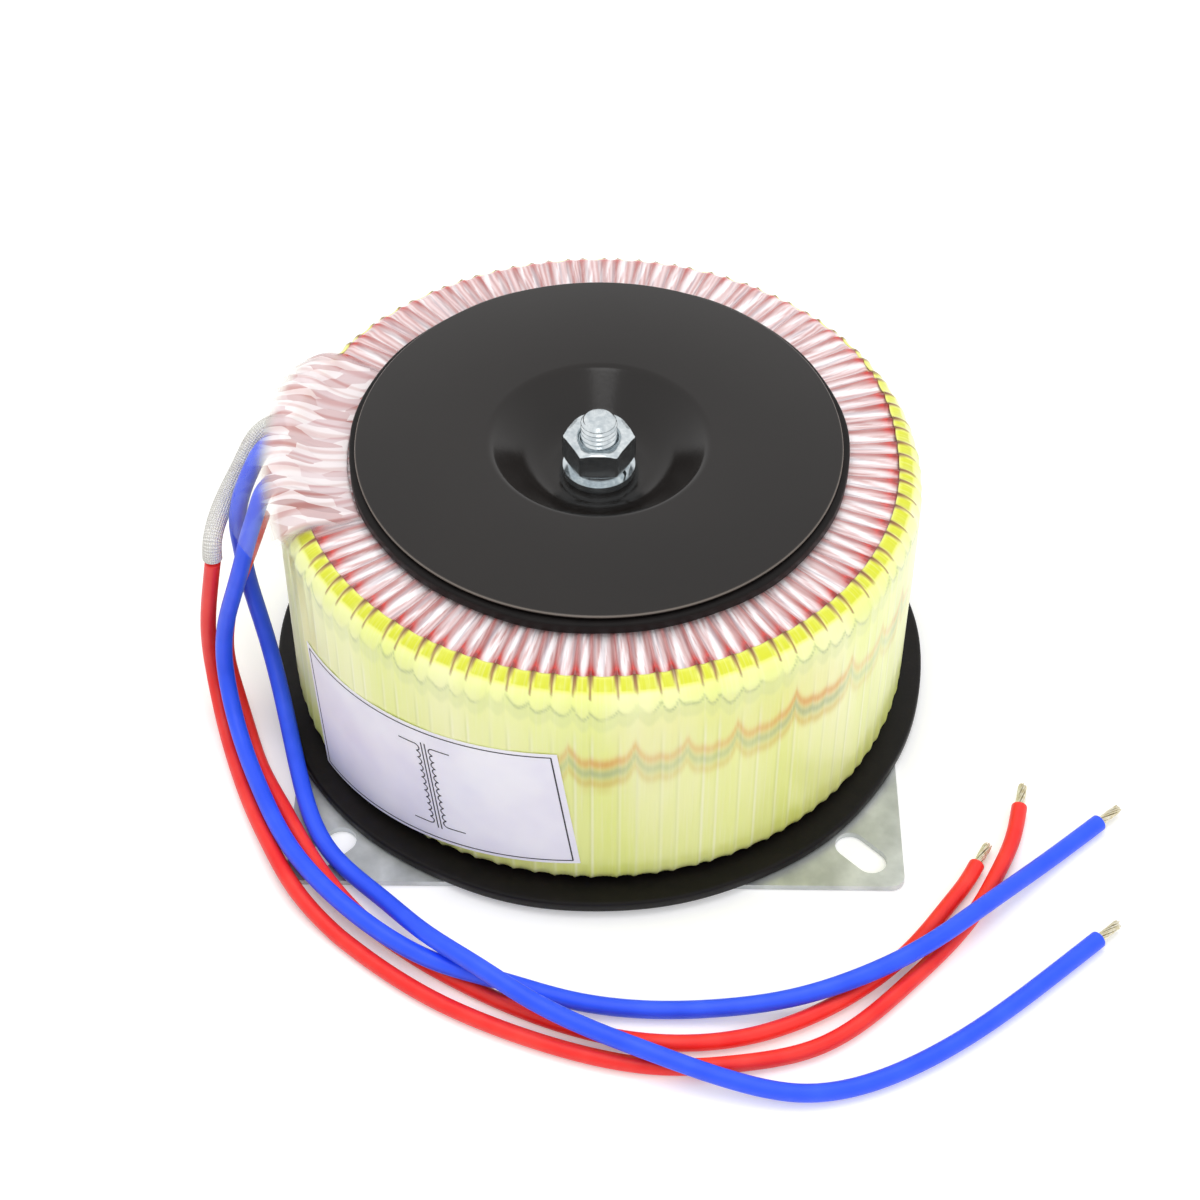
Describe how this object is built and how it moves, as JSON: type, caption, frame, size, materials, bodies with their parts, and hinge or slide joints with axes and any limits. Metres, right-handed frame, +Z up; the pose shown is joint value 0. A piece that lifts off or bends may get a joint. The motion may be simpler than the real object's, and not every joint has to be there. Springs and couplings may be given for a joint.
{
  "type": "toroidal transformer",
  "caption": "Ring-core mains transformer clamped by a central bolt between a slotted square mounting plate and a dished cover, with flying leads.",
  "frame": {"origin": "on the mounting plate's underside, on the bolt's axis", "axes": "+Z up along the bolt, +X to the right and -Y towards the label side; the plate's sides lie along X and Y"},
  "size_m": [0.2098, 0.2004, 0.0773],
  "materials": {
    "zinc_plate": "zinc-plated sheet, satin",
    "rubber_pad": "smooth rubber sheet, matt",
    "strip_steel": "wound silicon steel strip",
    "wrap_tape": "insulating tape",
    "primary_wire": "enamelled copper wire",
    "insulation_film": "polyester film",
    "enamelled_wire": "red-brown enamelled copper wire",
    "clear_film": "clear polyester film over enamelled turns",
    "edge_tape": "translucent yellow-green polyester tape",
    "label_film": "blank white label film",
    "cover_paint": "black stove enamel, semi-gloss",
    "zinc_bolt": "bright zinc plate",
    "zinc_washer": "bright zinc plate",
    "patch_film": "clear film patch",
    "woven_sleeve": "white woven glass sleeve",
    "blue_pvc": "blue PVC insulation, satin",
    "red_pvc": "red PVC insulation, satin",
    "bare_strands": "tinned copper strands"
  },
  "bodies": {
    "root": {"mounting_plate": "zinc_plate", "bottom_pad": "rubber_pad", "core": "strip_steel", "core_wrap": "wrap_tape", "primary_winding": "primary_wire", "winding_insulation": "insulation_film", "secondary_winding": "enamelled_wire", "film_wrap": "clear_film", "edge_tape": "edge_tape", "label": "label_film", "top_pad": "rubber_pad", "cover_plate": "cover_paint", "centre_bolt": "zinc_bolt", "flat_washer": "zinc_washer", "spring_washer": "zinc_washer", "hex_nut": "zinc_bolt", "exit_patch": "patch_film", "lead_sleeve": "woven_sleeve", "blue_lead_1": "blue_pvc", "blue_lead_2": "blue_pvc", "red_lead_1": "red_pvc", "red_lead_2": "red_pvc", "blue_strands_1": "bare_strands", "blue_strands_2": "bare_strands", "red_strands_1": "bare_strands", "red_strands_2": "bare_strands"}
  },
  "joints": []
}
